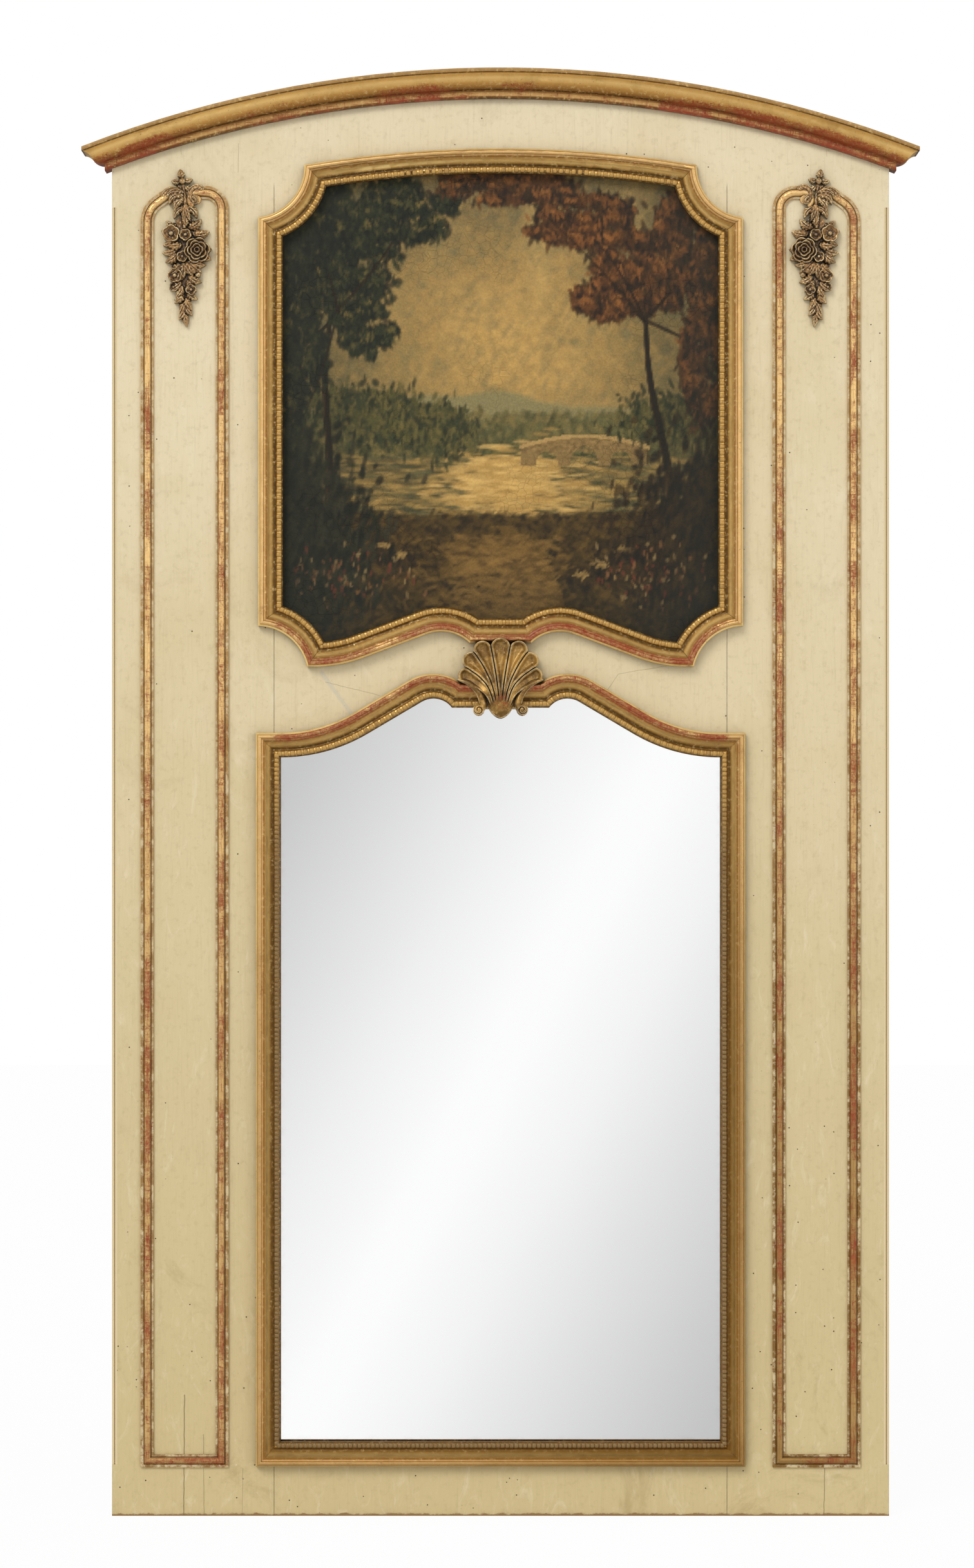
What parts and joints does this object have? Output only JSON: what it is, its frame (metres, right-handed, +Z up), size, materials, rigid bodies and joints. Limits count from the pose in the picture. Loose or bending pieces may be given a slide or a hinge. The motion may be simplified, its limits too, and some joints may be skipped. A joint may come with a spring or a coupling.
{
  "type": "trumeau mirror",
  "caption": "Arched trumeau mirror in aged cream paint and gilt mouldings, with a landscape painting above a shaped mirror plate, a carved shell between them and carved drops.",
  "frame": {"origin": "middle of the bottom edge on the board's back face, in the plane of the wall", "axes": "+Z up, +Y into the wall, out of the back face, +X to the right of someone who looks at the front"},
  "size_m": [1.23, 0.072, 2.1309],
  "materials": {
    "aged_cream_paint": "aged cream paint over softwood",
    "frame_gilding": "gold leaf over red bole on wood, with rubbed edges",
    "cornice_gilding": "gold leaf over red bole on wood, bright in the hollow",
    "rubbed_gilding": "worn gold leaf over red bole on wood",
    "carved_gilding": "toned gilding on carved wood",
    "painted_canvas": "oil paint on linen, aged varnish",
    "silvered_glass": "silvered glass plate",
    "bare_softwood": "bare aged softwood",
    "forged_iron": "dark forged iron"
  },
  "bodies": {
    "root": {"backing_board_left": "bare_softwood", "backing_board_middle": "bare_softwood", "backing_board_right": "bare_softwood", "bottom_rail": "aged_cream_paint", "cornice_front": "cornice_gilding", "cornice_return_left": "cornice_gilding", "cornice_return_right": "cornice_gilding", "hanger_screws": "forged_iron", "joint_pegs": "bare_softwood", "left_edge_strip": "rubbed_gilding", "left_flower_drop": "carved_gilding", "left_hanger_plate": "forged_iron", "left_panel_bottom": "rubbed_gilding", "left_panel_inner": "rubbed_gilding", "left_panel_inner_shoulder": "rubbed_gilding", "left_panel_outer": "rubbed_gilding", "left_panel_outer_shoulder": "rubbed_gilding", "left_stile": "aged_cream_paint", "middle_rail": "aged_cream_paint", "mirror_frame_bottom": "frame_gilding", "mirror_frame_left": "frame_gilding", "mirror_frame_right": "frame_gilding", "mirror_frame_top_centre": "frame_gilding", "mirror_frame_top_left": "frame_gilding", "mirror_frame_top_right": "frame_gilding", "mirror_plate": "silvered_glass", "painting_canvas": "painted_canvas", "painting_frame_bottom_centre": "frame_gilding", "painting_frame_bottom_left": "frame_gilding", "painting_frame_bottom_right": "frame_gilding", "painting_frame_left": "frame_gilding", "painting_frame_lower_left": "frame_gilding", "painting_frame_lower_right": "frame_gilding", "painting_frame_right": "frame_gilding", "painting_frame_top": "frame_gilding", "painting_frame_upper_left": "frame_gilding", "painting_frame_upper_right": "frame_gilding", "plate_blocks": "bare_softwood", "right_edge_strip": "rubbed_gilding", "right_flower_drop": "carved_gilding", "right_hanger_plate": "forged_iron", "right_panel_bottom": "rubbed_gilding", "right_panel_inner": "rubbed_gilding", "right_panel_inner_shoulder": "rubbed_gilding", "right_panel_outer": "rubbed_gilding", "right_panel_outer_shoulder": "rubbed_gilding", "right_stile": "aged_cream_paint", "shell_ornament": "carved_gilding", "stretcher_blocks": "bare_softwood", "stretcher_bottom": "bare_softwood", "stretcher_cross": "bare_softwood", "stretcher_left": "bare_softwood", "stretcher_right": "bare_softwood", "stretcher_top": "bare_softwood", "top_rail": "aged_cream_paint"}
  },
  "joints": []
}
